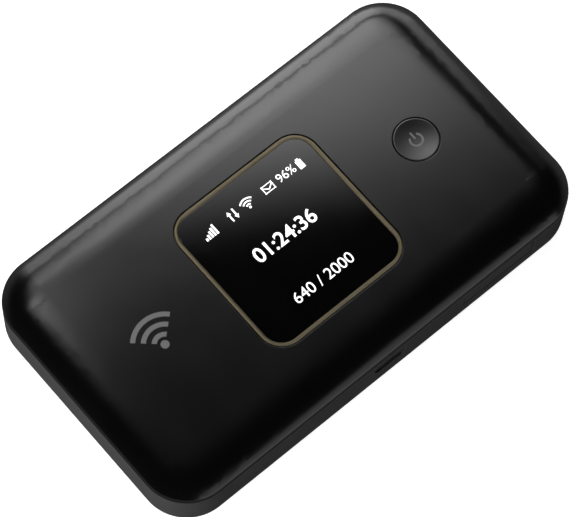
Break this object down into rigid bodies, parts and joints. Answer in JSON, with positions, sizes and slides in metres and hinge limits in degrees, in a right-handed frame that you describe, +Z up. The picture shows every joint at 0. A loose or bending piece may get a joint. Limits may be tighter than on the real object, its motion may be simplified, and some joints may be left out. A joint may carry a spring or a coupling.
{
  "type": "mobile hotspot",
  "caption": "Pocket mobile hotspot: pillow-topped slab with a small square display in a metal ring, a round power button, a side key and a micro USB port.",
  "frame": {"origin": "centre of the flat underside that the hotspot lies on", "axes": "+X along the long side towards the power button, +Y across the body away from the USB port, +Z up out of the display"},
  "size_m": [0.101, 0.058, 0.014],
  "materials": {
    "cover_black": "soft matte black coating",
    "ring_champagne": "satin champagne metal with two facets",
    "window_black": "polished black glass",
    "foam_black": "matte foam",
    "panel_glass": "polished",
    "backlight_steel": "stamped sheet",
    "connector_plastic": "moulded",
    "flex_amber": "polyimide film",
    "button_black": "satin",
    "switch_steel": "stamped sheet",
    "plunger_plastic": "moulded",
    "frame_grey": "fine matte",
    "key_grey": "fine matte",
    "usb_steel": "drawn sheet",
    "contact_gold": "plated",
    "back_black": "fine moulded texture",
    "chassis_grey": "moulded",
    "screw_steel": "dark plated",
    "board_green": "solder mask",
    "shield_steel": "stamped sheet",
    "chip_black": "moulded resin",
    "pad_grey": "soft pad",
    "card_white": "printed card",
    "cell_wrap": "wrapped cell",
    "antenna_ceramic": "glazed"
  },
  "bodies": {
    "root": {"top_cover": "cover_black", "display_ring": "ring_champagne", "display_window": "window_black", "window_adhesive": "foam_black", "display_gasket": "foam_black", "display_panel": "panel_glass", "display_backlight": "backlight_steel", "display_foam": "foam_black", "display_connector": "connector_plastic", "display_flex": "flex_amber", "power_switch_body": "switch_steel", "side_frame": "frame_grey", "side_switch_body": "switch_steel", "micro_usb_shell": "usb_steel", "usb_tongue": "connector_plastic", "usb_contacts": "contact_gold", "inner_chassis": "chassis_grey", "housing_screws": "screw_steel", "main_board": "board_green", "modem_shield": "shield_steel", "rf_shield": "shield_steel", "wifi_shield": "shield_steel", "modem_chip": "chip_black", "memory_chip": "chip_black", "power_chip": "chip_black", "rf_transceiver": "chip_black", "power_amplifiers": "chip_black", "wifi_chip": "chip_black", "thermal_pad": "pad_grey", "sim_holder": "connector_plastic", "reset_switch_body": "switch_steel", "battery_connector": "connector_plastic", "battery_springs": "contact_gold", "wifi_antennas": "antenna_ceramic", "antenna_carrier_left": "chassis_grey", "antenna_carrier_right": "chassis_grey", "lte_main_antenna": "contact_gold", "lte_diversity_antenna": "contact_gold"},
    "power_button": {"power_button": "button_black", "power_switch_plunger": "plunger_plastic"},
    "side_key": {"side_key": "key_grey", "side_switch_plunger": "plunger_plastic"},
    "reset_plunger": {"reset_plunger": "plunger_plastic"},
    "back_cover": {"back_cover": "back_black"},
    "battery": {"battery_cell": "cell_wrap", "battery_cap": "connector_plastic", "battery_terminals": "contact_gold"},
    "sim_card": {"sim_card": "card_white"}
  },
  "joints": [
    {"name": "power_button_press", "type": "slide", "parent": "root", "child": "power_button", "axis": [0, 0, -1], "range_m": [0, 0.0003], "stiffness_N_per_m": 1000, "springref_m": -0.0004},
    {"name": "side_key_press", "type": "slide", "parent": "root", "child": "side_key", "axis": [0, 1, 0], "range_m": [0, 0.0003], "stiffness_N_per_m": 1000, "springref_m": -0.0004},
    {"name": "reset_press", "type": "slide", "parent": "root", "child": "reset_plunger", "axis": [0, 0, 1], "range_m": [0, 0.0003], "stiffness_N_per_m": 600, "springref_m": -0.0004},
    {"name": "back_cover_lift", "type": "slide", "parent": "root", "child": "back_cover", "axis": [0, 0, -1], "range_m": [0, 0.04]},
    {"name": "battery_lift", "type": "slide", "parent": "root", "child": "battery", "axis": [0, 0, -1], "range_m": [0, 0.018]},
    {"name": "sim_card_slide", "type": "slide", "parent": "root", "child": "sim_card", "axis": [0, -1, 0], "range_m": [0, 0.013]}
  ],
  "couplings": [
    {"joint": "battery_lift", "follows": "back_cover_lift", "ratio": 0.45}
  ]
}
